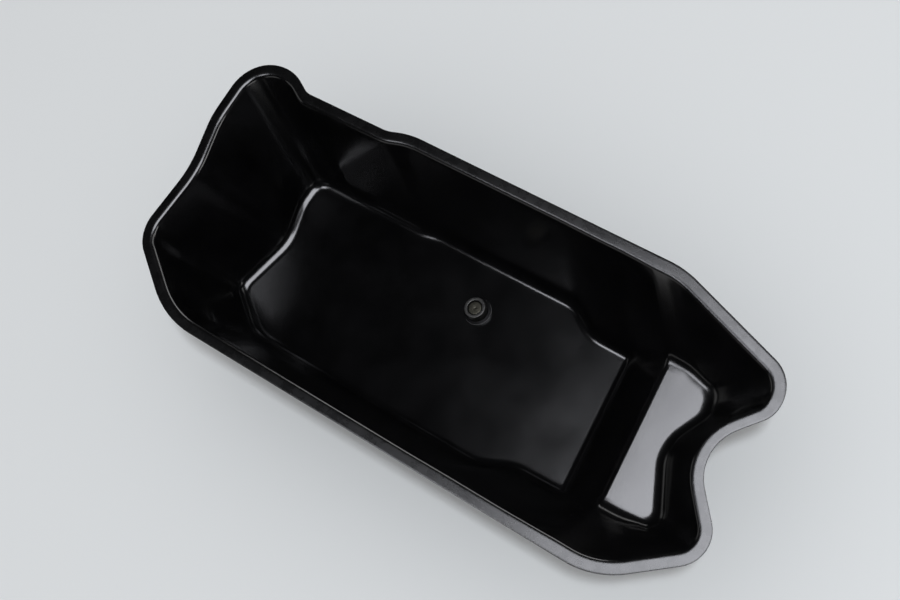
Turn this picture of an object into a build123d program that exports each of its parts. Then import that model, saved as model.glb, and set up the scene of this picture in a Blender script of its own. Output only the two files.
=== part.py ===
from build123d import *
import math
import os

os.makedirs("parts", exist_ok=True)

# Whole pan. The origin lies under the middle and the gasket face looks up at z = HEIGHT.
LENGTH = 700.0
WIDTH = 295.0
HEIGHT = 150.0
SHEET = 1.5             # pressed steel, the same everywhere

# Flange round the mouth
FLANGE = 12.3           # from its edge to the line where flange and wall would meet
RIM_BEND = 6.0          # inner radius of that line once it is bent

# Deep sump on the left, ramp, and a shallow shelf on the right
RAMP_FROM_END = 200.0   # from the right end of the flange back to the ramp's foot
SHELF_HEIGHT = 80.0     # inner face
SHELF_LENGTH = 51.0     # from the top of the ramp to the upper corner of the end wall
RAMP_SLOPE = 51.7       # degrees
RAMP_SKEW = 0.10        # how far the ramp leans to the left for each mm across
FOOT_BEND = 13.0        # radius where the floor turns up
CREST_BEND = 10.0       # radius where the ramp meets the shelf
FLOOR_BLEND = 11.0      # width of the rounding between wall and floor

# Drain: a bush welded on the floor and a headless plug screwed into it from below
DRAIN_X = -30.8
DRAIN_Y = 39.8
BUSH_HEIGHT = 12.0      # above the floor
BUSH_DIAMETER = 24.0
BUSH_CHAMFER = 0.8
BASE_DIAMETER = 30.0    # welding flange
BASE_THICKNESS = 1.5
SPIGOT_DIAMETER = 20.0  # passes through the floor
SPIGOT_CLEARANCE = 0.1  # on each side
THREAD_DIAMETER = 16.0
THREAD_CLEARANCE = 0.05 # on each side
PLUG_LENGTH = 12.0
PLUG_CHAMFER = 1.2
HEX_SOCKET = 8.0        # across flats
HEX_DEPTH = 6.5

# Outlines are drawn on this length and width and fitted to the pan's own
DRAWN_LENGTH = 700.0
DRAWN_WIDTH = 295.0

rampFoot = LENGTH / 2 - RAMP_FROM_END
rampRun = (SHELF_HEIGHT - SHEET) / math.tan(math.radians(RAMP_SLOPE))
rampTop = rampFoot + rampRun
footX = DRAWN_LENGTH / 2 - RAMP_FROM_END
topX = footX + rampRun
shelfX = topX + SHELF_LENGTH

# Corners of the flange's edge and of the foot of the wall, clockwise from the top left.
# Each is x, y and the length of straight side that its rounding takes, with what the
# wall stands on there.
CORNERS = [
    ((-349.2, 140.4, 36.7), (-287.0, 88.0, 22.0), "floor"),  # left end, upper lobe
    ((-293.8, 149.7, 17.8), (-255.0, 89.5, 5.0), "floor"),
    ((-264.6, 133.4, 5.7), (-235.0, 89.7, 4.0), "floor"),  # long shallow recess
    ((-155.9, 134.6, 5.9), (-137.0, 90.5, 6.0), "floor"),
    ((-130.8, 142.4, 15.2), (-117.0, 94.5, 8.0), "floor"),  # upper side
    ((footX - 88.0, 142.5, 12.0), (footX - 87.0, 95.5, 12.0), "floor"),  # wall draws in here
    ((footX - 46.0, 142.6, 12.0), (footX - 53.0, 75.0, 12.0), "floor"),
    ((197.4, 142.7, 16.8), (topX + 21.0, 73.0, 7.0), "shelf"),
    ((342.3, 95.4, 28.0), (shelfX, 67.0, 14.0), "shelf"),  # right end, upper lobe
    ((340.6, 56.9, 9.2), (shelfX + 6.0, 40.0, 8.0), "shelf"),
    ((293.8, 0.7, 39.7), (shelfX - 13.0, -3.0, 18.0), "shelf"),  # notch
    ((364.8, -77.5, 34.4), (topX + 77.0, -79.0, 27.0), "shelf"),  # right end, lower lobe
    ((276.3, -147.7, 32.0), (topX + 34.0, -81.0, 8.0), "shelf"),
    ((footX - 46.0, -147.3, 12.0), (footX - 50.0, -85.5, 12.0), "floor"),
    ((footX - 88.0, -147.2, 12.0), (footX - 86.0, -102.0, 12.0), "floor"),  # lower side
    ((-256.4, -145.9, 36.2), (-245.0, -103.0, 18.0), "floor"),
    ((-343.6, -83.6, 24.0), (-297.0, -64.0, 14.0), "floor"),  # left end, lower lobe
    ((-335.9, 3.8, 19.9), (-277.0, 8.0, 14.0), "floor"),
    ((-350.2, 64.6, 13.7), (-289.0, 52.0, 9.0), "floor"),
]

UP = Vector(0, 0, 1)


def fitted(corner):
    """One drawn corner on this pan: each end keeps its shape, and the width is stretched."""
    x, y, cut = corner
    stretch = WIDTH / DRAWN_WIDTH
    longer = (LENGTH - DRAWN_LENGTH) / 2
    return x + (longer if x > 0 else -longer), y * stretch, cut * min(1.0, stretch)


def inset(outline, distance):
    """The same outline moved inwards, its roundings concentric with the old ones."""
    moved = []
    for i, (x, y, cut) in enumerate(outline):
        before = Vector(*outline[i - 1][:2])
        here = Vector(x, y)
        after = Vector(*outline[(i + 1) % len(outline)][:2])
        a = (here - before).normalized()
        b = (after - here).normalized()
        inA = Vector(a.Y, -a.X)
        inB = Vector(b.Y, -b.X)
        shift = (inA + inB) * (distance / (1 + inA.dot(inB)))
        turn = math.copysign(math.sqrt((1 - a.dot(b)) / (1 + a.dot(b))), a.X * b.Y - a.Y * b.X)
        moved.append((x + shift.X, y + shift.Y, cut + distance * turn))
    return moved


def rounding(outline, i):
    """Start, sharp point and end of one corner's rounding."""
    here = Vector(*outline[i][:2])
    before = Vector(*outline[i - 1][:2])
    after = Vector(*outline[(i + 1) % len(outline)][:2])
    cut = outline[i][2]
    return [here + (before - here).normalized() * cut, here, here + (after - here).normalized() * cut]


rim = [fitted(edge) for edge, foot, place in CORNERS]
foot = [fitted(foot) for edge, foot, place in CORNERS]
mouth = inset(rim, FLANGE)
flat = inset(foot, FLOOR_BLEND)
count = len(rim)

# The bottom, cut along x: floor, bend, ramp, bend, shelf
slope = math.radians(RAMP_SLOPE)
footTangent = FOOT_BEND * math.tan(slope / 2)
crestTangent = CREST_BEND * math.tan(slope / 2)
STATIONS = {
    "bendStart": rampFoot - footTangent,
    "foot": rampFoot,
    "bendEnd": rampFoot + footTangent * math.cos(slope),
    "crestStart": rampTop - crestTangent * math.cos(slope),
    "top": rampTop,
    "crestEnd": rampTop + crestTangent,
}
rampUp = Vector(-math.sin(slope), -math.sin(slope) * RAMP_SKEW, math.cos(slope)).normalized()


def station(p):
    """Place along the skewed ramp."""
    return p.X + RAMP_SKEW * p.Y


def onRamp(p):
    """The point of the ramp's plane straight above p."""
    return Vector(p.X, p.Y, SHEET + (station(p) - rampFoot) * math.tan(slope))


def onLevel(p, height):
    return Vector(p.X, p.Y, height)


def blendWeight(a, b, c):
    """Weight that makes the middle control point b give a circular arc."""
    return math.sqrt(max(0.0, 1 + (b - a).normalized().dot((c - b).normalized())) / 2)


def mitre(normals):
    """The move that puts a meeting point of faces one sheet lower on each of them."""
    total = normals[0]
    reach = 1.0
    for n in normals[1:]:
        total = (total + n).normalized()
        reach = 1 / total.dot(n)
    return total, reach * SHEET


def lowered(point, faces, walls):
    """Point moved to the outer side of the sheet, where a bottom and a wall face meet."""
    a, da = mitre(faces)
    if not walls:
        return point - a * da
    b, db = mitre(walls)
    c = a.dot(b)
    ka = (da - db * c) / (1 - c * c)
    kb = (db - da * c) / (1 - c * c)
    return point - a * ka - b * kb


def column(plan, sides, place, rises=None):
    """Control points of one cross-section, from the flat bottom out to the flange's edge.

    plan holds the plan points of the flat's rim, the wall's foot, the mouth and the edge.
    sides holds the foot and mouth directions of the one or two sides that meet here.
    place says what the bottom is here: floor, ramp, shelf, or a bend between two of them.
    rises sets how high the two bends reach, where the neighbours' heights are wanted.
    """
    p, f, m, e = plan
    if place == "floor":
        bottom, low, faces = onLevel(p, SHEET), onLevel(f, SHEET), [UP]
    elif place == "shelf":
        bottom, low, faces = onLevel(p, SHELF_HEIGHT), onLevel(f, SHELF_HEIGHT), [UP]
    else:
        bottom, low = onRamp(p), onRamp(f)
        faces = [rampUp] if place == "ramp" else [UP, rampUp]
    top = onLevel(m, HEIGHT)
    wall = (top - low).normalized()
    walls = [(a + b).cross(wall).normalized() for a, b in sides]
    outward = Vector(0, 0, 0)
    for a, b in sides:
        outward += Vector(-b.Y, b.X)
    outward = outward * (len(sides) / outward.dot(outward))
    lean = math.acos(wall.dot(outward.normalized()))
    bend = RIM_BEND * math.tan(lean / 2)
    if rises is None:
        rises = [(low - bottom).length * wall.Z, bend * wall.Z]
    up = low + wall * (rises[0] / wall.Z)
    down = top - wall * (rises[1] / wall.Z)
    inner = [bottom, low, up, down, top, top + outward * bend]
    outer = [
        lowered(bottom, faces, []),
        lowered(low, faces, walls),
        lowered(up, walls, []),
        lowered(down, walls, []),
        lowered(top, [UP], walls),
        lowered(inner[5], [UP], []),
    ]
    edge = onLevel(e, HEIGHT)
    weights = [1.0, blendWeight(*inner[:3]), 1.0, 1.0, blendWeight(*inner[3:]), 1.0]
    return {"inner": inner, "outer": outer, "edge": [edge, edge - UP * SHEET],
            "weights": weights, "rises": rises}


def middle(columns, plan, sides, place):
    """Section at a sharp point, its bends as high as those of the two beside it."""
    rises = [(a + b) / 2 for a, b in zip(columns[0]["rises"], columns[1]["rises"])]
    return column(plan, sides, place, rises)


OUTLINES = [flat, foot, mouth, rim]


def side(i):
    """Directions of the foot and of the mouth along the side after corner i."""
    k = (i + 1) % count
    return [(rounding(o, k)[0] - rounding(o, i)[2]).normalized() for o in (foot, mouth)]


def along(i, fraction):
    """Plan points part of the way along the side after corner i."""
    k = (i + 1) % count
    return [rounding(o, i)[2] * (1 - fraction) + rounding(o, k)[0] * fraction for o in OUTLINES]


def fractionAt(a, b, wanted):
    return (wanted - station(a)) / (station(b) - station(a))


segments = []           # each is its name, its two or three columns and their weights
for i in range(count):
    # The rounded corner
    k = (i + 1) % count
    place, nextPlace = CORNERS[i][2], CORNERS[k][2]
    start = column(along((i - 1) % count, 1.0), [side((i - 1) % count)], place)
    end = column(along(i, 0.0), [side(i)], place)
    sharp = [rounding(o, i)[1] for o in OUTLINES]
    peak = middle([start, end], sharp, [side((i - 1) % count), side(i)], place)
    w = math.sqrt((1 + side((i - 1) % count)[1].dot(side(i)[1])) / 2)
    segments.append((place, [start, peak, end], [1.0, w, 1.0]))
    # The straight side after it
    far = column(along(i, 1.0), [side(i)], nextPlace)
    if place == nextPlace:
        segments.append((place, [end, far], [1.0, 1.0]))
        continue
    names = list(STATIONS)
    places = ["floor", "bend", "ramp", "ramp", "bend", "shelf"]
    plans = {}
    for name in names:
        a, b = rounding(flat, i)[2], rounding(flat, k)[0]
        plans[name] = along(i, fractionAt(a, b, STATIONS[name]))
    for name in ("foot", "top"):
        a, b = rounding(foot, i)[2], rounding(foot, k)[0]
        plans[name][1] = along(i, fractionAt(a, b, STATIONS[name]))[1]
    steps = {n: column(plans[n], [side(i)], q) for n, q in zip(names, places) if q != "bend"}
    steps["foot"] = middle([steps["bendStart"], steps["bendEnd"]], plans["foot"], [side(i)], "bend")
    steps["top"] = middle([steps["crestStart"], steps["crestEnd"]], plans["top"], [side(i)], "bend")
    bendWeight = math.cos(slope / 2)
    chain = [
        ("foot bend", [steps[n] for n in names[0:3]], [1.0, bendWeight, 1.0]),
        ("ramp", [steps[n] for n in names[2:4]], [1.0, 1.0]),
        ("crest bend", [steps[n] for n in names[3:6]], [1.0, bendWeight, 1.0]),
    ]
    if place == "floor":
        segments.append(("floor", [end, steps["bendStart"]], [1.0, 1.0]))
        segments += chain
        segments.append(("shelf", [steps["crestEnd"], far], [1.0, 1.0]))
    else:
        segments.append(("shelf", [end, steps["crestEnd"]], [1.0, 1.0]))
        segments += [(name, cols[::-1], weights) for name, cols, weights in chain[::-1]]
        segments.append(("floor", [steps["bendStart"], far], [1.0, 1.0]))


def rowEdge(columns, weights, skin, row):
    """Edge of the sheet's surface along one row of control points."""
    return Edge.make_bezier(*[c[skin][row] for c in columns], weights=weights)


def bands(columns, weights, skin):
    """Blend, wall and rim bend of one segment, each one smooth face."""
    faces = []
    for first, last in ((0, 2), (2, 3), (3, 5)):
        points = [c[skin][first:last + 1] for c in columns]
        pull = [[w * v for v in c["weights"][first:last + 1]] for c, w in zip(columns, weights)]
        faces.append(Face.make_bezier_surface(points, pull))
    return faces


def bottomFaces(skin):
    """Floor, foot bend, ramp, crest bend and shelf of one side of the sheet."""
    named = {}
    for name, columns, weights in segments:
        named.setdefault(name, []).append((columns, weights))
    faces = []
    for name in ("foot bend", "crest bend"):
        (upper, weights), (lower, same) = named[name]
        points = [[a[skin][0], b[skin][0]] for a, b in zip(upper, lower[::-1])]
        faces.append(Face.make_bezier_surface(points, [[w, w] for w in weights]))
    (upper, weights), (lower, same) = named["ramp"]
    corners = [upper[0], upper[1], lower[0], lower[1]]
    faces.append(Face(Wire.make_polygon([c[skin][0] for c in corners], close=True)))
    for name in ("floor", "shelf"):
        border = [rowEdge(columns, weights, skin, 0) for columns, weights in named[name]]
        joint = "foot bend" if name == "floor" else "crest bend"
        ends = [0, -1] if name == "floor" else [-1, 0]
        across = [columns[end][skin][0] for (columns, weights), end in zip(named[joint], ends)]
        border.append(Edge.make_line(*across))
        faces.append(Face(Wire(border)))
    return faces


def panShell():
    """The whole pressed sheet, sewn from its inner and outer surfaces."""
    faces = bottomFaces("inner") + bottomFaces("outer")
    for name, columns, weights in segments:
        faces += bands(columns, weights, "inner") + bands(columns, weights, "outer")
        points = [c["edge"] for c in columns]
        faces.append(Face.make_bezier_surface(points, [[w, w] for w in weights]))
    for skin, level in (("inner", 0), ("outer", 1)):
        border = Wire([rowEdge(c, w, "edge", level) for name, c, w in segments])
        hole = Wire([rowEdge(c, w, skin, 5) for name, c, w in segments])
        faces.append(Face(border, [hole]))
    return Solid(Shell(faces))


def drainPlace(shape):
    return Pos(DRAIN_X, DRAIN_Y, 0) * shape


def drainBush():
    """Turned bush: spigot through the floor, welding flange, body and through bore."""
    bore = THREAD_DIAMETER / 2
    body = BUSH_DIAMETER / 2
    seat = SHEET + BASE_THICKNESS
    top = SHEET + BUSH_HEIGHT
    profile = Polyline(
        (bore, 0),
        (SPIGOT_DIAMETER / 2, 0),
        (SPIGOT_DIAMETER / 2, SHEET),
        (BASE_DIAMETER / 2, SHEET),
        (BASE_DIAMETER / 2, seat),
        (body, seat),
        (body, top - BUSH_CHAMFER),
        (body - BUSH_CHAMFER, top),
        (bore, top),
        close=True,
    )
    return revolve(Plane.XZ * make_face(profile), Axis.Z)


def drainPlug():
    """Headless plug, flush with the underside, with a hexagon socket in its lower end."""
    radius = THREAD_DIAMETER / 2 - THREAD_CLEARANCE
    plug = Pos(0, 0, PLUG_LENGTH / 2) * Cylinder(radius, PLUG_LENGTH)
    plug = chamfer(plug.edges(), PLUG_CHAMFER)
    socket = extrude(RegularPolygon(HEX_SOCKET / 2, 6, major_radius=False), HEX_DEPTH)
    return plug - socket


hole = Cylinder(SPIGOT_DIAMETER / 2 + SPIGOT_CLEARANCE, 4 * SHEET)
parts = {
    "pan_shell": panShell() - drainPlace(hole),
    "drain_bush": drainPlace(drainBush()),
    "drain_plug": drainPlace(drainPlug()),
}
for name, shape in parts.items():
    export_step(shape, f"parts/{name}.step")
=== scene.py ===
import bpy
import math
from mathutils import Matrix, Vector
from mathutils.geometry import delaunay_2d_cdt


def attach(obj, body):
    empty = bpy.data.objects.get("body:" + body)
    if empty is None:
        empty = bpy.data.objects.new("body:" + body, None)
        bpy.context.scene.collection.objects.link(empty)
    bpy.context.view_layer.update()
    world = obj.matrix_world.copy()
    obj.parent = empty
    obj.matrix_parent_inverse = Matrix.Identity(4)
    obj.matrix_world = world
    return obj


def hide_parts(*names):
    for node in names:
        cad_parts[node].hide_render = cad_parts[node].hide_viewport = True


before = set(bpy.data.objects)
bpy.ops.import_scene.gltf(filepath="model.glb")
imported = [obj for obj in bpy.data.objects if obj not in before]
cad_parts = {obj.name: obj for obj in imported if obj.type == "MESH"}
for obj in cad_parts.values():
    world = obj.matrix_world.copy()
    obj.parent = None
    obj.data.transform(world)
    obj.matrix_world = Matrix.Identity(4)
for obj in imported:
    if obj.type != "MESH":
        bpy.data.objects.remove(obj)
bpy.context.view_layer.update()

mm = 0.001
up = Vector((0, 0, 1))
print("frame loaded")

# small helpers; every pattern is laid out in object coordinates


def newMaterial(name):
    material = bpy.data.materials.new(name)
    material.use_nodes = True
    tree = material.node_tree
    tree.nodes.clear()
    out = tree.nodes.new("ShaderNodeOutputMaterial")
    shader = tree.nodes.new("ShaderNodeBsdfPrincipled")
    tree.links.new(shader.outputs["BSDF"], out.inputs["Surface"])
    coords = tree.nodes.new("ShaderNodeTexCoord")
    return material, tree, shader, coords.outputs["Object"]


def noise(tree, place, scale, detail):
    node = tree.nodes.new("ShaderNodeTexNoise")
    node.inputs["Scale"].default_value = scale
    node.inputs["Detail"].default_value = detail
    tree.links.new(place, node.inputs["Vector"])
    return node.outputs["Fac"]


def spread(tree, value, low, high, fromLow=0.0, fromHigh=1.0):
    node = tree.nodes.new("ShaderNodeMapRange")
    node.inputs["From Min"].default_value = fromLow
    node.inputs["From Max"].default_value = fromHigh
    node.inputs["To Min"].default_value = low
    node.inputs["To Max"].default_value = high
    tree.links.new(value, node.inputs["Value"])
    return node.outputs["Result"]


def calculate(tree, operation, *values):
    node = tree.nodes.new("ShaderNodeMath")
    node.operation = operation
    for value, socket in zip(values, node.inputs):
        if isinstance(value, float):
            socket.default_value = value
        else:
            tree.links.new(value, socket)
    return node.outputs["Value"]


def mixed(tree, share, first, second, kind="FLOAT"):
    node = tree.nodes.new("ShaderNodeMix")
    node.data_type = kind
    wanted = {"FLOAT": "VALUE", "RGBA": "RGBA"}[kind]
    ends = [n for n in node.inputs if n.name in ("A", "B") and n.type == wanted]
    tree.links.new(share, node.inputs["Factor"])
    for value, socket in zip((first, second), ends):
        if isinstance(value, bpy.types.NodeSocket):
            tree.links.new(value, socket)
        else:
            socket.default_value = value
    return [n for n in node.outputs if n.type == wanted][0]


def mapped(tree, place, location=(0, 0, 0), scale=(1, 1, 1)):
    node = tree.nodes.new("ShaderNodeMapping")
    node.inputs["Location"].default_value = location
    node.inputs["Scale"].default_value = scale
    tree.links.new(place, node.inputs["Vector"])
    return node.outputs["Vector"]


def bump(tree, height, strength, distance, before=None):
    node = tree.nodes.new("ShaderNodeBump")
    node.inputs["Strength"].default_value = strength
    node.inputs["Distance"].default_value = distance
    tree.links.new(height, node.inputs["Height"])
    if before is not None:
        tree.links.new(before, node.inputs["Normal"])
    return node.outputs["Normal"]


def heightOf(tree, place):
    parted = tree.nodes.new("ShaderNodeSeparateXYZ")
    tree.links.new(place, parted.inputs["Vector"])
    return parted.outputs["Z"]


def finished(mesh, name, sharpAngle):
    # the mesh as a smooth object, sharp only where its faces meet at more than the angle
    mesh.polygons.foreach_set("use_smooth", [True] * len(mesh.polygons))
    mesh.set_sharp_from_angle(angle=math.radians(sharpAngle))
    piece = bpy.data.objects.new(name, mesh)
    bpy.context.scene.collection.objects.link(piece)
    return piece


# the paint of the shell and of the weld; sizes in metres

paintLook = {
    "colour": (0.0012, 0.0012, 0.0014, 1),
    "fadedColour": (0.0030, 0.0030, 0.0034, 1),
    "fading": (32.0, 4.0),              # scale and detail of its noise, as in the rows below
    "fadingRange": (0.35, 0.75),
    "specular": 0.5,
    "rough": (0.15, 0.20),
    "roughPatches": (14.0, 3.0),
    "flangeRough": (0.24, 0.31),        # the flange is duller from handling
    "flangePatches": (90.0, 4.0),
    "flangeHeight": (0.1488, 0.1498),
    "patchRange": (0.3, 0.7),
    "dustColour": (0.32, 0.31, 0.30, 1),
    "dustRough": 0.8,
    "dustSpacing": 0.026,
    "dustSize": 0.00042,
    "dustCore": 0.6,                    # share of a speck that is fully dusty
    "dustShare": 0.10,                  # share of the cells that hold a speck
    "waves": (9.0, 1.5),                # slow unevenness of the pressed sheet
    "waveBump": (0.012, 0.02),          # strength and height, as in the rows below
    "marks": (1.0, 2.0),                # faint marks that run up the walls
    "markStretch": (60, 60, 3),
    "markBump": (0.010, 0.004),
    "peel": (900.0, 1.0),               # fine orange peel of the dipped paint
    "peelBump": (0.04, 0.0004),
}


def dust(tree, place):
    # 1 on a speck, 0 elsewhere
    look = paintLook
    cells = tree.nodes.new("ShaderNodeTexVoronoi")
    cells.inputs["Scale"].default_value = 1 / look["dustSpacing"]
    tree.links.new(place, cells.inputs["Vector"])
    size = look["dustSize"] / look["dustSpacing"]
    near = spread(tree, cells.outputs["Distance"], 1.0, 0.0, size * look["dustCore"], size)
    parted = tree.nodes.new("ShaderNodeSeparateColor")
    tree.links.new(cells.outputs["Color"], parted.inputs["Color"])
    chosen = calculate(tree, "LESS_THAN", parted.outputs["Red"], look["dustShare"])
    return calculate(tree, "MULTIPLY", near, chosen)


def blackPaint():
    look = paintLook
    material, tree, shader, place = newMaterial("blackPaint")
    shader.inputs["Specular IOR Level"].default_value = look["specular"]
    specks = dust(tree, place)

    faded = spread(tree, noise(tree, place, *look["fading"]), 0.0, 1.0, *look["fadingRange"])
    paint = mixed(tree, faded, look["colour"], look["fadedColour"], "RGBA")
    colour = mixed(tree, specks, paint, look["dustColour"], "RGBA")
    tree.links.new(colour, shader.inputs["Base Color"])

    patches = noise(tree, place, *look["roughPatches"])
    gloss = spread(tree, patches, *look["rough"], *look["patchRange"])
    handled = noise(tree, place, *look["flangePatches"])
    dull = spread(tree, handled, *look["flangeRough"], *look["patchRange"])
    onFlange = spread(tree, heightOf(tree, place), 0.0, 1.0, *look["flangeHeight"])
    rough = mixed(tree, onFlange, gloss, dull)
    rough = mixed(tree, specks, rough, look["dustRough"])
    tree.links.new(rough, shader.inputs["Roughness"])

    normal = bump(tree, noise(tree, place, *look["waves"]), *look["waveBump"])
    stretched = mapped(tree, place, scale=look["markStretch"])
    normal = bump(tree, noise(tree, stretched, *look["marks"]), *look["markBump"], normal)
    normal = bump(tree, noise(tree, place, *look["peel"]), *look["peelBump"], normal)
    tree.links.new(normal, shader.inputs["Normal"])
    return material


# the pressed shell, all sizes in millimetres

panSizes = {
    "height": 150.0,
    "sheet": 1.5,
    "flange": 12.3,
    "rimBend": 6.0,
    "rampFoot": 150.0,
    "shelfHeight": 80.0,
    "rampSlope": 51.7,
    "rampSkew": 0.10,
    "footBend": 13.0,
    "crestBend": 10.0,
    "floorBlend": 11.0,
    "edgeRound": 0.3,       # where the trimmed edge is broken
    "edgeBow": 0.3,         # share of it that the corner keeps
    "holeGap": 0.1,         # between the drain hole and the bush's spigot
    "holeSteps": 48,
    "cornerSteps": 10,
    "rampSteps": 6,
    "sideStep": 9.0,        # longest piece of a straight side
    "blendSteps": 10,
    "wallSteps": 12,
    "rimSteps": 8,
    "landRows": (0.25, 0.5, 0.75),
    "underRows": (0.33, 0.67),
    "sharpAngle": 35,
}

slope = math.radians(panSizes["rampSlope"])
rampFoot = panSizes["rampFoot"]
rampTop = rampFoot + (panSizes["shelfHeight"] - panSizes["sheet"]) / math.tan(slope)
rampUp = Vector((-math.sin(slope), -math.sin(slope) * panSizes["rampSkew"],
                 math.cos(slope))).normalized()
flatHeights = {"floor": panSizes["sheet"], "shelf": panSizes["shelfHeight"]}

# corners clockwise from the top left: flange edge, wall foot; x, y and length the rounding takes
corners = [
    ((-349.2, 140.4, 36.7), (-287.0, 88.0, 22.0)),
    ((-293.8, 149.7, 17.8), (-255.0, 89.5, 5.0)),
    ((-264.6, 133.4, 5.7), (-235.0, 89.7, 4.0)),
    ((-155.9, 134.6, 5.9), (-137.0, 90.5, 6.0)),
    ((-130.8, 142.4, 15.2), (-117.0, 94.5, 8.0)),
    ((62.0, 142.5, 12.0), (63.0, 95.5, 12.0)),
    ((104.0, 142.6, 12.0), (97.0, 75.0, 12.0)),
    ((197.4, 142.7, 16.8), (233.0, 73.0, 7.0)),
    ((342.3, 95.4, 28.0), (263.0, 67.0, 14.0)),
    ((340.6, 56.9, 9.2), (269.0, 40.0, 8.0)),
    ((293.8, 0.7, 39.7), (250.0, -3.0, 18.0)),
    ((364.8, -77.5, 34.4), (289.0, -79.0, 27.0)),
    ((276.3, -147.7, 32.0), (246.0, -81.0, 8.0)),
    ((104.0, -147.3, 12.0), (100.0, -85.5, 12.0)),
    ((62.0, -147.2, 12.0), (64.0, -102.0, 12.0)),
    ((-256.4, -145.9, 36.2), (-245.0, -103.0, 18.0)),
    ((-343.6, -83.6, 24.0), (-297.0, -64.0, 14.0)),
    ((-335.9, 3.8, 19.9), (-277.0, 8.0, 14.0)),
    ((-350.2, 64.6, 13.7), (-289.0, 52.0, 9.0)),
]
cornerCount = len(corners)
upperRampSide, lowerRampSide = 6, 12    # the straight sides that the ramp crosses


def total(vectors):
    return sum(vectors, Vector((0, 0, 0)))


def following(i):
    return (i + 1) % cornerCount


def inset(outline, distance):
    # the outline moved inwards; its roundings keep their centres
    moved = []
    for i, (x, y, cut) in enumerate(outline):
        here = Vector((x, y))
        a = (here - Vector(outline[i - 1][:2])).normalized()
        b = (Vector(outline[following(i)][:2]) - here).normalized()
        inA, inB = Vector((a.y, -a.x)), Vector((b.y, -b.x))
        shift = (inA + inB) * (distance / (1 + inA.dot(inB)))
        turn = math.tan(math.atan2(a.x * b.y - a.y * b.x, a.dot(b)) / 2)
        moved.append((x + shift.x, y + shift.y, cut + distance * turn))
    return moved


rimOutline = [rim for rim, foot in corners]
footOutline = [foot for rim, foot in corners]
mouthOutline = inset(rimOutline, panSizes["flange"])
outlines = [inset(footOutline, panSizes["floorBlend"]), footOutline, mouthOutline, rimOutline]


def rounding(outline, i):
    # start, sharp corner and end of one corner's rounding
    here = Vector(outline[i][:2])
    before = (Vector(outline[i - 1][:2]) - here).normalized()
    after = (Vector(outline[following(i)][:2]) - here).normalized()
    return [here + before * outline[i][2], here, here + after * outline[i][2]]


def placeOf(i):
    return "shelf" if upperRampSide < i <= lowerRampSide else "floor"


def side(i):
    # directions of the straight side after a corner, at the wall's foot and at its mouth
    return [(rounding(o, following(i))[0] - rounding(o, i)[2]).normalized()
            for o in (footOutline, mouthOutline)]


def along(i, share):
    # a point of every outline on the straight side after a corner
    return [rounding(o, i)[2].lerp(rounding(o, following(i))[0], share) for o in outlines]


def station(p):
    # place along the pan, the same all along the skewed ramp's foot
    return p.x + panSizes["rampSkew"] * p.y


def shareAt(i, outline, wanted):
    # how far along a straight side the wanted station lies
    a, b = rounding(outline, i)[2], rounding(outline, following(i))[0]
    return (wanted - station(a)) / (station(b) - station(a))


def onRamp(p):
    return Vector((p.x, p.y, panSizes["sheet"] + (station(p) - rampFoot) * math.tan(slope)))


def arcWeight(a, b, c):
    # weight that makes the curve over three points a circle's arc
    return math.sqrt(max(0.0, 1 + (b - a).normalized().dot((c - b).normalized())) / 2)


def mitre(normals):
    # shared direction of some faces and how far a sheet reaches along it
    shared, reach = normals[0], 1.0
    for n in normals[1:]:
        shared = (shared + n).normalized()
        reach = 1 / shared.dot(n)
    return shared, reach * panSizes["sheet"]


def lowered(point, faces, walls):
    # the point moved through the sheet, square to every face and wall that meets there
    a, reachA = mitre(faces)
    if not walls:
        return point - a * reachA
    b, reachB = mitre(walls)
    c = a.dot(b)
    square = 1 - c * c
    return point - a * ((reachA - reachB * c) / square) - b * ((reachB - reachA * c) / square)


def column(plan, sides, place, rises=None):
    # control points up one section of the shell, inside and outside, and the trimmed edge
    flatPlan, footPlan, mouthPlan, edgePlan = plan
    if place in flatHeights:
        bottom, low, faces = flatPlan.to_3d(), footPlan.to_3d(), [up]
        bottom.z = low.z = flatHeights[place]
    else:
        bottom, low = onRamp(flatPlan), onRamp(footPlan)
        faces = [rampUp] if place == "ramp" else [up, rampUp]
    top = Vector((*mouthPlan, panSizes["height"]))
    wall = (top - low).normalized()
    walls = [(atFoot + atMouth).to_3d().cross(wall).normalized() for atFoot, atMouth in sides]
    outward = total(Vector((-atMouth.y, atMouth.x, 0)) for atFoot, atMouth in sides)
    outward *= len(sides) / outward.dot(outward)
    bend = panSizes["rimBend"] * math.tan(wall.angle(outward) / 2)
    if rises is None:
        rises = [(low - bottom).length * wall.z, bend * wall.z]
    raised = low + wall * (rises[0] / wall.z)
    down = top - wall * (rises[1] / wall.z)
    inner = [bottom, low, raised, down, top, top + outward * bend]
    outer = [lowered(bottom, faces, []), lowered(low, faces, walls), lowered(raised, walls, []),
             lowered(down, walls, []), lowered(top, [up], walls), lowered(inner[5], [up], [])]
    weights = [1.0, arcWeight(*inner[:3]), 1.0, 1.0, arcWeight(*inner[3:]), 1.0]
    return {"inner": inner, "outer": outer, "edge": Vector((*edgePlan, panSizes["height"])),
            "out": outward, "weights": weights, "rises": rises}


def middle(first, last, plan, sides, place):
    # the column between two others, at the sharp corner their arc bends round
    rises = [(a + b) / 2 for a, b in zip(first["rises"], last["rises"])]
    return column(plan, sides, place, rises)


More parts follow.
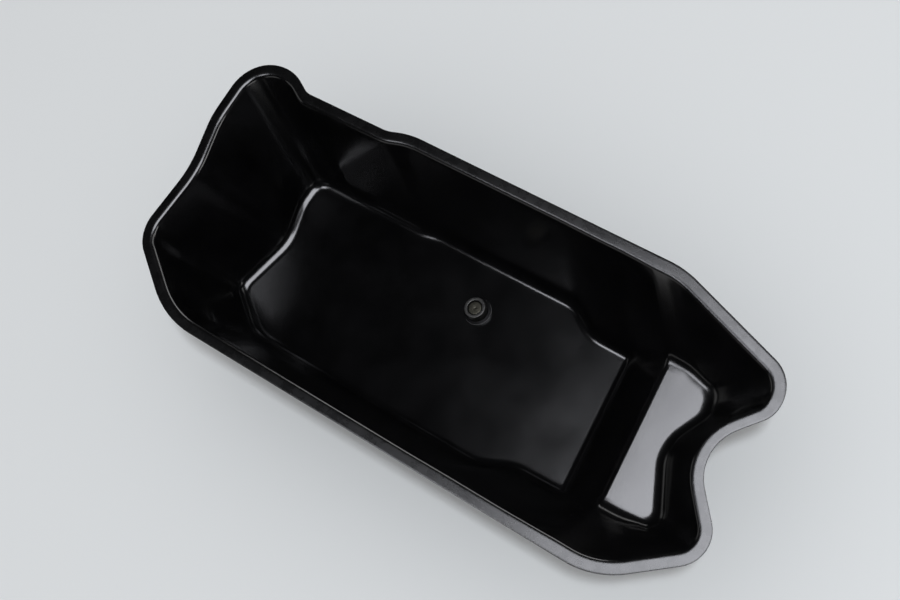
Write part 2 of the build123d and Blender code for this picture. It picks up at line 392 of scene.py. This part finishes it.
def rampChain(i, start, far):
    # the pieces of a side that the ramp crosses, from the floor up to the shelf
    footReach = panSizes["footBend"] * math.tan(slope / 2)
    crestReach = panSizes["crestBend"] * math.tan(slope / 2)
    stations = [rampFoot - footReach, rampFoot, rampFoot + footReach * math.cos(slope),
                rampTop - crestReach * math.cos(slope), rampTop, rampTop + crestReach]
    plans = [along(i, shareAt(i, outlines[0], s)) for s in stations]
    places = ["floor", None, "ramp", "ramp", None, "shelf"]
    steps = [place and column(plan, [side(i)], place) for plan, place in zip(plans, places)]
    for n in (1, 4):
        plans[n][1] = along(i, shareAt(i, footOutline, stations[n]))[1]
        steps[n] = middle(steps[n - 1], steps[n + 1], plans[n], [side(i)], "bend")
    bent = [1.0, math.cos(slope / 2), 1.0]
    middles = [("footBend", steps[0:3], bent), ("ramp", steps[2:4], [1.0, 1.0]),
               ("crestBend", steps[3:6], bent)]
    if i == upperRampSide:
        return [("floor", [start, steps[0]], [1.0, 1.0]), *middles,
                ("shelf", [steps[5], far], [1.0, 1.0])]
    back = [(name, columns[::-1], weights) for name, columns, weights in reversed(middles)]
    return [("shelf", [start, steps[5]], [1.0, 1.0]), *back,
            ("floor", [steps[0], far], [1.0, 1.0])]


def shellSegments():
    # the shell as patches round the rim: where each stands, its columns and their weights
    segments = []
    for i in range(cornerCount):
        last, place = (i - 1) % cornerCount, placeOf(i)
        start = column(along(last, 1.0), [side(last)], place)
        end = column(along(i, 0.0), [side(i)], place)
        sharp = [rounding(o, i)[1] for o in outlines]
        peak = middle(start, end, sharp, [side(last), side(i)], place)
        weight = math.sqrt((1 + side(last)[1].dot(side(i)[1])) / 2)
        segments.append((place, [start, peak, end], [1.0, weight, 1.0]))
        far = column(along(i, 1.0), [side(i)], placeOf(following(i)))
        if i in (upperRampSide, lowerRampSide):
            segments += rampChain(i, end, far)
        else:
            segments.append((place, [end, far], [1.0, 1.0]))
    return segments


def bernstein(n, t):
    return [1 - t, t] if n == 2 else [(1 - t) ** 2, 2 * t * (1 - t), t * t]


def bandPoints(rows, steps):
    # points up one band of a section, without its first
    points = []
    for k in range(1, steps + 1):
        shares = bernstein(len(rows), k / steps)
        weight = sum(w * b for (p, w), b in zip(rows, shares))
        points.append(total(p * b for (p, w), b in zip(rows, shares)) / weight)
    return points


def skinPoints(columns, shares, skin):
    # points up one skin of the shell, from the flat's edge to the rim
    rows = []
    for r in range(6):
        weighted = [share * c["weights"][r] for share, c in zip(shares, columns)]
        rows.append((total(c[skin][r] * w for w, c in zip(weighted, columns)), sum(weighted)))
    return ([rows[0][0] / rows[0][1]] + bandPoints(rows[0:3], panSizes["blendSteps"])
            + bandPoints(rows[2:4], panSizes["wallSteps"])
            + bandPoints(rows[3:6], panSizes["rimSteps"]))


def ringPoints(columns, weights, t):
    # one section all the way round the sheet: inside, flange, trimmed edge, outside
    shares = [b * w for b, w in zip(bernstein(len(columns), t), weights)]
    inner = skinPoints(columns, shares, "inner")
    outer = skinPoints(columns, shares, "outer")
    edge = total(c["edge"] * s for s, c in zip(shares, columns)) / sum(shares)
    out = total(c["out"] * s for s, c in zip(shares, columns)).normalized()
    r, bow, sheet = panSizes["edgeRound"], panSizes["edgeBow"], panSizes["sheet"]
    lip = [edge - out * (r * x) - up * z for x, z in (
        (1, 0), (bow, r * bow), (0, r), (0, sheet - r), (bow, sheet - r * bow), (1, sheet))]
    land = [inner[-1].lerp(lip[0], share) for share in panSizes["landRows"]]
    under = [lip[-1].lerp(outer[-1], share) for share in panSizes["underRows"]]
    return inner + land + lip + under + outer[::-1]


def facingWay(verts, face, facing):
    # the face turned to look up or down
    p, q, r = (verts[n] for n in face[:3])
    return face[::-1] if (q - p).cross(r - p).z * facing < 0 else face


def fillFlat(verts, loop, hole, facing):
    # triangles inside the loop and round the hole, facing up or down
    index = loop + hole
    points = [Vector(verts[n][:2]) for n in index]
    a, b = len(loop), len(hole)
    edges = [(a + n, a + (n + 1) % b) for n in range(b)]
    insideOnly, tolerance = 1, 1e-6
    found = delaunay_2d_cdt(points, edges, [list(range(a))], insideOnly, tolerance)
    coords, triangles, origins = found[0], found[2], found[3]
    if hole:
        centre = sum(points[a:], Vector((0, 0))) / b
        flatRadius = (points[a] - centre).length * math.cos(math.pi / b)
    faces = []
    for triangle in triangles:
        mid = sum((coords[n] for n in triangle), Vector((0, 0))) / len(triangle)
        if hole and (mid - centre).length < flatRadius:
            continue
        faces.append(facingWay(verts, [index[origins[n][0]] for n in triangle], facing))
    return faces


def circleAt(centre, radius, z, steps):
    turns = [2 * math.pi * n / steps for n in range(steps)]
    return [Vector((centre[0] + radius * math.cos(a), centre[1] + radius * math.sin(a), z))
            for a in turns]


def makeShell(drainCentre, spigotRadius):
    rings, spans = [], []
    for name, columns, weights in shellSegments():
        length = (columns[-1]["edge"] - columns[0]["edge"]).length
        steps = panSizes["cornerSteps"]
        if name == "ramp":
            steps = panSizes["rampSteps"]
        elif len(columns) == 2:
            steps = max(1, round(length / panSizes["sideStep"]))
        spans.append((name, len(rings), steps))
        rings += [ringPoints(columns, weights, k / steps) for k in range(steps)]
    ringCount, size = len(rings), len(rings[0])
    verts = [p for ring in rings for p in ring]
    skins = ((0, 1), (size - 1, -1))    # row of a ring at the flats' edge, and the way it faces

    def vertex(ring, row):
        return ring % ringCount * size + row

    faces = [[vertex(i, j), vertex(i + 1, j), vertex(i + 1, j + 1), vertex(i, j + 1)]
             for i in range(ringCount) for j in range(size - 1)]
    holes = []
    for row, facing in skins:
        holes.append(list(range(len(verts), len(verts) + panSizes["holeSteps"])))
        verts += circleAt(drainCentre, spigotRadius + panSizes["holeGap"], verts[row].z,
                          panSizes["holeSteps"])
        for name, hole in (("floor", holes[-1]), ("shelf", [])):
            loop = [vertex(first + n, row) for part, first, steps in spans if part == name
                    for n in range(steps + 1)]
            faces += fillFlat(verts, list(dict.fromkeys(loop)), hole, facing)
        for name in ("footBend", "ramp", "crestBend"):
            (upper, steps), (lower, steps) = [span[1:] for span in spans if span[0] == name]
            for n in range(steps):
                quad = (upper + n, upper + n + 1, lower + steps - n - 1, lower + steps - n)
                faces.append(facingWay(verts, [vertex(q, row) for q in quad], facing))
    above, below = (hole + hole[:1] for hole in holes)
    faces += [[above[n], above[n + 1], below[n + 1], below[n]]
              for n in range(panSizes["holeSteps"])]
    mesh = bpy.data.meshes.new("panShell")
    mesh.from_pydata([v * mm for v in verts], [], faces)
    mesh.update()
    piece = finished(mesh, "panShell", panSizes["sharpAngle"])

    # flat faces stay flat right up to the blends
    normals = [v.normal.copy() for v in mesh.vertices]
    for (row, facing), hole in zip(skins, holes):
        for part, first, steps in spans:
            if part in ("floor", "shelf", "ramp"):
                for n in range(first, first + steps + 1):
                    normals[vertex(n, row)] = (rampUp if part == "ramp" else up) * facing
        for n in hole:
            normals[n] = up * facing
    mesh.normals_split_custom_set_from_vertices(normals)
    return piece


# the drain: welded bush, its plug and the weld round the bush, all sizes in millimetres

drainSizes = {
    "centre": (-30.8, 39.8),
    "spigot": 20.0,
    "base": 30.0,
    "baseThickness": 1.5,
    "bush": 24.0,
    "bushTop": 13.5,
    "chamfer": 0.8,
    "bore": 16.0,
    "boreBreak": 0.45,      # height of the bore's broken lower edge
    "edge": 0.25,           # broken edges
    "edgeShare": 0.4,       # most that a broken edge takes of a face beside it
    "sides": 96,
    "sharpAngle": 32,
}

plugSizes = {
    "width": 15.9,
    "top": 12.0,
    "chamfer": 0.6,
    "dimple": (1.5, 0.9),   # radius and depth of the centring mark
    "hexagon": 8.0,
    "hexDepth": 6.5,
    "drillPoint": 0.9,
    "mouth": (0.5, 0.4),    # width and height of the socket's chamfer
    "mouthShare": 0.4,      # how much of a hexagon is left at its wide end
}

threadSizes = {
    "pitch": 1.5,
    "ridge": 0.62,          # half height of a ridge, half of it sunk in
    "steps": 64,
    "gap": 0.1,             # left at the ends of the bore's thread
    "footGap": 0.3,
    "runOut": 1.2,          # the plug's thread stops this far under its top
    "sharpAngle": 30,
}

weldSizes = {
    "bead": 0.55,
    "ripples": 64.0,
    "thinnest": 0.82,       # share of the bead's size between two ripples
    "lift": 0.1,
    "steps": 512,
    "sectionSteps": 12,
}

steelLook = {
    "zinc": ((0.026, 0.026, 0.026, 1), (0.062, 0.061, 0.058, 1)),
    "plug": ((0.022, 0.021, 0.016, 1), (0.054, 0.051, 0.039, 1)),
    "painted": (0.0012, 0.0012, 0.0014, 1),
    "paintTop": (0.0034, 0.0050),   # heights between which the pan's paint thins out on the bush
    "metal": 0.85,
    "stains": (420.0, 4.0),
    "rough": (0.30, 0.46),
    "wear": (900.0, 3.0),
    "range": (0.3, 0.7),
    "wearBump": (0.05, 0.0002),
    "rings": 1100.0,                # turning marks
    "ringWander": 1.5,
    "ringBump": (0.06, 0.0002),
}


def turnedSteel(name, colours):
    look = steelLook
    material, tree, shader, place = newMaterial(name)
    shader.inputs["Metallic"].default_value = look["metal"]
    stain = spread(tree, noise(tree, place, *look["stains"]), 0.0, 1.0, *look["range"])
    bare = spread(tree, heightOf(tree, place), 0.0, 1.0, *look["paintTop"])
    steel = mixed(tree, stain, *colours, "RGBA")
    steel = mixed(tree, bare, look["painted"], steel, "RGBA")
    tree.links.new(steel, shader.inputs["Base Color"])
    worn = noise(tree, place, *look["wear"])
    tree.links.new(spread(tree, worn, *look["rough"], *look["range"]), shader.inputs["Roughness"])
    rings = tree.nodes.new("ShaderNodeTexWave")
    rings.wave_type = "RINGS"
    rings.rings_direction = "Z"
    rings.inputs["Scale"].default_value = look["rings"]
    rings.inputs["Distortion"].default_value = look["ringWander"]
    x, y = drainSizes["centre"]
    tree.links.new(mapped(tree, place, location=(-x * mm, -y * mm, 0)), rings.inputs["Vector"])
    normal = bump(tree, rings.outputs["Fac"], *look["ringBump"])
    tree.links.new(bump(tree, worn, *look["wearBump"], normal), shader.inputs["Normal"])
    return material


def softened(profile):
    # each corner of the turned outline becomes a short curve
    points = [profile[0]]
    for before, row, after in zip(profile, profile[1:], profile[2:]):
        here = Vector(row)
        ends = []
        for other in (before, after):
            way = Vector(other) - here
            ends.append(here + way * min(drainSizes["edgeShare"], drainSizes["edge"] / way.length))
        for t in (0.0, 0.33, 0.67, 1.0):
            a, b, c = bernstein(3, t)
            points.append(tuple(ends[0] * a + here * b + ends[1] * c))
    return points + [profile[-1]]


def hexagonRadius(angle, acrossFlats):
    sixth = math.pi / 3
    return acrossFlats / 2 / math.cos((angle % sixth) - sixth / 2)


def turned(name, rows, closed):
    # rows are (radius, height, share of a hexagon) from one end of the outline to the other
    sides = drainSizes["sides"]
    x, y = drainSizes["centre"]
    verts, faces, rings = [], [], []
    for radius, height, share in rows:
        if radius == 0:
            rings.append([len(verts)])
            verts.append((x * mm, y * mm, height * mm))
            continue
        rings.append(list(range(len(verts), len(verts) + sides)))
        for n in range(sides):
            a = 2 * math.pi * n / sides
            r = radius * (1 - share) + hexagonRadius(a, 2 * radius) * share
            verts.append(((x + r * math.cos(a)) * mm, (y + r * math.sin(a)) * mm, height * mm))
    for low, high in zip(rings, rings[1:] + rings[:1] if closed else rings[1:]):
        for n in range(sides):
            m = (n + 1) % sides
            if len(low) == 1:
                faces.append([low[0], high[m], high[n]])
            elif len(high) == 1:
                faces.append([low[n], low[m], high[0]])
            else:
                faces.append([low[n], low[m], high[m], high[n]])
    mesh = bpy.data.meshes.new(name)
    mesh.from_pydata(verts, [], faces)
    mesh.update()
    return finished(mesh, name, drainSizes["sharpAngle"])


def makeBush():
    d = drainSizes
    sheet, edge, top, chamfer = panSizes["sheet"], d["edge"], d["bushTop"], d["chamfer"]
    bore, spigot, base, bush = (d[name] / 2 for name in ("bore", "spigot", "base", "bush"))
    baseTop = sheet + d["baseThickness"]
    profile = [(bore, d["boreBreak"]), (bore + edge, 0.0), (spigot, 0.0), (spigot, sheet),
               (base, sheet), (base, baseTop), (bush, baseTop), (bush, top - chamfer),
               (bush - chamfer, top), (bore + 2 * edge, top), (bore, top - 2 * edge),
               (bore, top / 2)]
    return turned("drainBush", [(r, z, 0.0) for r, z in softened(profile)], True)


def makePlug():
    d = plugSizes
    edge, root = drainSizes["edge"], d["width"] / 2 - threadSizes["ridge"]
    socket, top, chamfer = d["hexagon"] / 2, d["top"], d["chamfer"]
    dimpleRadius, dimpleDepth = d["dimple"]
    mouthWidth, mouthHeight = d["mouth"]
    inside = [(0.0, d["hexDepth"] + d["drillPoint"], 0.0), (socket, d["hexDepth"], 1.0),
              (socket, mouthHeight, 1.0), (socket + mouthWidth, 0.0, d["mouthShare"])]
    outside = [(root - edge, 0.0), (root, edge), (root, top - chamfer), (root - chamfer, top),
               (dimpleRadius, top), (0.0, top - dimpleDepth)]
    return turned("drainPlug", inside + [(r, z, 0.0) for r, z in softened(outside)], False)


def nodeGroup(name, inputs):
    tree = bpy.data.node_groups.new(name, "GeometryNodeTree")
    sockets = {}
    for label, kind in (*inputs, ("Place", "Vector"), ("Material", "Material")):
        socket = tree.interface.new_socket(label, in_out="INPUT", socket_type="NodeSocket" + kind)
        sockets[label] = socket.identifier
    tree.interface.new_socket("Geometry", in_out="OUTPUT", socket_type="NodeSocketGeometry")
    return tree, sockets, tree.nodes.new("NodeGroupInput")


def finishGroup(tree, start, geometry):
    move = tree.nodes.new("GeometryNodeTransform")
    tree.links.new(geometry, move.inputs["Geometry"])
    tree.links.new(start.outputs["Place"], move.inputs["Translation"])
    realize = tree.nodes.new("GeometryNodeRealizeInstances")
    tree.links.new(move.outputs["Geometry"], realize.inputs["Geometry"])
    paint = tree.nodes.new("GeometryNodeSetMaterial")
    tree.links.new(realize.outputs["Geometry"], paint.inputs["Geometry"])
    tree.links.new(start.outputs["Material"], paint.inputs["Material"])
    end = tree.nodes.new("NodeGroupOutput")
    tree.links.new(paint.outputs["Geometry"], end.inputs["Geometry"])


def threadGroup():
    # a ridge with a square section stood on its corner, wound up a helix
    tree, sockets, start = nodeGroup("threadRidge", [
        ("Radius", "Float"), ("Turns", "Float"), ("Height", "Float"), ("Ridge", "Float")])
    spiral = tree.nodes.new("GeometryNodeCurveSpiral")
    spiral.inputs["Resolution"].default_value = threadSizes["steps"]
    for label, socket in (("Turns", "Rotations"), ("Radius", "Start Radius"),
                          ("Radius", "End Radius"), ("Height", "Height")):
        tree.links.new(start.outputs[label], spiral.inputs[socket])
    upright = tree.nodes.new("GeometryNodeSetCurveNormal")
    upright.mode = "Z_UP"
    tree.links.new(spiral.outputs["Curve"], upright.inputs["Curve"])
    section = tree.nodes.new("GeometryNodeCurvePrimitiveCircle")
    section.inputs["Resolution"].default_value = 4
    tree.links.new(start.outputs["Ridge"], section.inputs["Radius"])
    sweep = tree.nodes.new("GeometryNodeCurveToMesh")
    sweep.inputs["Fill Caps"].default_value = True
    tree.links.new(upright.outputs["Curve"], sweep.inputs["Curve"])
    tree.links.new(section.outputs["Curve"], sweep.inputs["Profile Curve"])
    finishGroup(tree, start, sweep.outputs["Mesh"])
    return tree, sockets


def weldGroup():
    # a bead round the bush's base, swelling and thinning along its run
    tree, sockets, start = nodeGroup("weldBead", [
        ("Radius", "Float"), ("Bead", "Float"), ("Ripples", "Float")])
    circle = tree.nodes.new("GeometryNodeCurvePrimitiveCircle")
    circle.inputs["Resolution"].default_value = weldSizes["steps"]
    tree.links.new(start.outputs["Radius"], circle.inputs["Radius"])
    run = tree.nodes.new("GeometryNodeSplineParameter")
    turns = calculate(tree, "MULTIPLY", run.outputs["Factor"], start.outputs["Ripples"])
    wave = calculate(tree, "SINE", calculate(tree, "MULTIPLY", turns, 2 * math.pi))
    section = tree.nodes.new("GeometryNodeCurvePrimitiveCircle")
    section.inputs["Resolution"].default_value = weldSizes["sectionSteps"]
    tree.links.new(start.outputs["Bead"], section.inputs["Radius"])
    sweep = tree.nodes.new("GeometryNodeCurveToMesh")
    tree.links.new(circle.outputs["Curve"], sweep.inputs["Curve"])
    tree.links.new(section.outputs["Curve"], sweep.inputs["Profile Curve"])
    swell = spread(tree, wave, weldSizes["thinnest"], 1.0, -1.0, 1.0)
    tree.links.new(swell, sweep.inputs["Scale"])
    finishGroup(tree, start, sweep.outputs["Mesh"])
    return tree, sockets


def grown(name, group, values):
    # runs the node group on an empty mesh and keeps its result as a plain mesh
    tree, sockets = group
    seed = bpy.data.objects.new(name + "Seed", bpy.data.meshes.new(name + "Seed"))
    bpy.context.scene.collection.objects.link(seed)
    modifier = seed.modifiers.new(name, "NODES")
    modifier.node_group = tree
    for label, value in values.items():
        modifier[sockets[label]] = value
    graph = bpy.context.evaluated_depsgraph_get()
    mesh = bpy.data.meshes.new_from_object(seed.evaluated_get(graph), depsgraph=graph)
    seed.modifiers.remove(modifier)
    bpy.data.objects.remove(seed)
    return finished(mesh, name, threadSizes["sharpAngle"])


def onDrain(height):
    x, y = drainSizes["centre"]
    return (x * mm, y * mm, height * mm)


def makeThread(group, name, radius, low, high, material):
    return grown(name, group, {
        "Radius": radius * mm, "Turns": (high - low) / threadSizes["pitch"],
        "Height": (high - low) * mm, "Ridge": threadSizes["ridge"] * mm,
        "Place": onDrain(low), "Material": material})


def makeWeld(material):
    return grown("baseWeld", weldGroup(), {
        "Radius": drainSizes["base"] / 2 * mm, "Bead": weldSizes["bead"] * mm,
        "Ripples": weldSizes["ripples"],
        "Place": onDrain(panSizes["sheet"] + weldSizes["lift"]), "Material": material})


print("shell")
paint = blackPaint()
shell = makeShell(drainSizes["centre"], drainSizes["spigot"] / 2)
shell.data.materials.append(paint)
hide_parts("pan_shell")
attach(shell, "root")

print("drain")
zinc = turnedSteel("zincPlate", steelLook["zinc"])
darkSteel = turnedSteel("plugSteel", steelLook["plug"])
bush, plug = makeBush(), makePlug()
bush.data.materials.append(zinc)
plug.data.materials.append(darkSteel)
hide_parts("drain_bush")
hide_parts("drain_plug")
thread, ridge = threadGroup(), threadSizes["ridge"]
boreThread = makeThread(thread, "boreThread", drainSizes["bore"] / 2,
                        plugSizes["top"] + threadSizes["gap"],
                        drainSizes["bushTop"] - ridge - threadSizes["gap"], zinc)
plugThread = makeThread(thread, "plugThread", plugSizes["width"] / 2 - ridge,
                        ridge + threadSizes["footGap"],
                        plugSizes["top"] - threadSizes["runOut"], darkSteel)
weld = makeWeld(paint)
for piece, slot in ((bush, "zinc_plate"), (boreThread, "zinc_plate"), (plug, "plug_steel"),
                    (plugThread, "plug_steel"), (weld, "black_paint")):
    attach(piece, "root")

# floor, light and camera, in metres

studio = {
    "floorReach": 40,
    "floorDrop": 0.0002,        # keeps the floor clear of the pan's underside
    "floorColour": (0.71, 0.73, 0.75, 1),
    "floorRough": 0.9,
    "floorSpecular": 0.1,
    "ambient": 0.66,            # soft light from all round
    "ambientColour": (1.0, 0.99, 0.975, 1),
    "darkRoom": 0.0,            # what gloss sees between the softboxes
    "backdrop": 1.0,            # what the camera sees beyond the floor
    "overheadHeight": 1.2,
    "overheadColour": (0.92, 0.935, 1.0),
    "overhead": [               # x, y, width, length, brightness
        (0.205, 0.05, 0.79, 0.80, 10.6),
        (-0.42, -0.56, 0.40, 0.30, 10.0),
    ],
    "aroundDistance": 2.2,
    "aroundSize": (1.4, 0.7),
    "around": [                 # elevation, azimuth, brightness
        (12, 108, 3.4),
        (12, 36, 5.0),
        (30, 72, 3.2),
        (12, 324, 2.4),
        (12, 252, 0.9),
        (12, 198, 0.7),
    ],
    "aim": (0.03, 0.0, 0.1),
    "keyRise": 0.19,            # above the lens
    "keyAway": 2.0,             # times the lens's own distance
    "keySize": 0.24,
    "keyBrightness": 255.0,
    "keyColour": (0.94, 0.975, 1.0),
    "cameraPlace": (0.7269, -0.2278, 1.5731),
    "cameraRight": (0.78814, 0.53288, -0.30800),
    "cameraUp": (-0.42480, 0.83307, 0.35431),
    "focal": 66.68,             # millimetres, on a sensor 36 wide
    "sensor": 36.0,
    "farthest": 200,
}


def makeFloor():
    mesh = bpy.data.meshes.new("studioFloor")
    s = studio["floorReach"]
    mesh.from_pydata([(-s, -s, 0), (s, -s, 0), (s, s, 0), (-s, s, 0)], [], [[0, 1, 2, 3]])
    floor = bpy.data.objects.new("studioFloor", mesh)
    floor.location.z = -studio["floorDrop"]
    bpy.context.scene.collection.objects.link(floor)
    material, tree, shader, place = newMaterial("palePaper")
    shader.inputs["Base Color"].default_value = studio["floorColour"]
    shader.inputs["Roughness"].default_value = studio["floorRough"]
    shader.inputs["Specular IOR Level"].default_value = studio["floorSpecular"]
    mesh.materials.append(material)


def makeWorld():
    world = bpy.data.worlds.new("studio")
    bpy.context.scene.world = world
    world.use_nodes = True
    tree = world.node_tree
    tree.nodes.clear()
    out = tree.nodes.new("ShaderNodeOutputWorld")
    background = tree.nodes.new("ShaderNodeBackground")
    background.inputs["Color"].default_value = studio["ambientColour"]
    tree.links.new(background.outputs["Background"], out.inputs["Surface"])
    rays = tree.nodes.new("ShaderNodeLightPath").outputs
    light = mixed(tree, rays["Is Glossy Ray"], studio["ambient"], studio["darkRoom"])
    light = mixed(tree, rays["Is Camera Ray"], light, studio["backdrop"])
    tree.links.new(light, background.inputs["Strength"])


def addLamp(name, place, target, brightness, width, length):
    lamp = bpy.data.lights.new(name, "AREA")
    lamp.shape = "RECTANGLE"
    lamp.size = width
    lamp.size_y = length
    lamp.energy = brightness * math.pi * width * length
    holder = bpy.data.objects.new(name, lamp)
    bpy.context.scene.collection.objects.link(holder)
    holder.location = place
    holder.rotation_euler = (target - place).to_track_quat("-Z", "Y").to_euler()
    holder.visible_camera = False
    return holder


def makeLights():
    # the softboxes are for the gloss only; the key lamp and the world light everything else
    for n, (x, y, width, length, brightness) in enumerate(studio["overhead"]):
        place = Vector((x, y, studio["overheadHeight"]))
        box = addLamp(f"overheadBox{n}", place, place - up, brightness, width, length)
        box.rotation_euler = (0, 0, 0)
        box.data.color = studio["overheadColour"]
        box.visible_diffuse = False
    aim = Vector(studio["aim"])
    for elevation, azimuth, brightness in studio["around"]:
        e, a = math.radians(elevation), math.radians(azimuth)
        way = Vector((math.cos(e) * math.cos(a), math.cos(e) * math.sin(a), math.sin(e)))
        box = addLamp(f"softBox{azimuth}", aim + way * studio["aroundDistance"], aim, brightness,
                      *studio["aroundSize"])
        box.visible_diffuse = False
    size = studio["keySize"]
    place = Vector(studio["cameraPlace"]) + Vector(studio["cameraUp"]) * studio["keyRise"]
    key = addLamp("keyLamp", place * studio["keyAway"], aim, studio["keyBrightness"], size, size)
    key.data.color = studio["keyColour"]
    key.visible_glossy = False


def makeCamera():
    camera = bpy.data.cameras.new("camera")
    camera.lens = studio["focal"]
    camera.sensor_width = studio["sensor"]
    camera.clip_end = studio["farthest"]
    holder = bpy.data.objects.new("camera", camera)
    bpy.context.scene.collection.objects.link(holder)
    right, above = Vector(studio["cameraRight"]), Vector(studio["cameraUp"])
    turn = Matrix((right, above, right.cross(above))).transposed().to_4x4()
    holder.matrix_world = Matrix.Translation(Vector(studio["cameraPlace"])) @ turn
    bpy.context.scene.camera = holder


print("studio")
makeFloor()
makeWorld()
makeLights()
makeCamera()
bpy.context.scene.view_settings.view_transform = "Standard"
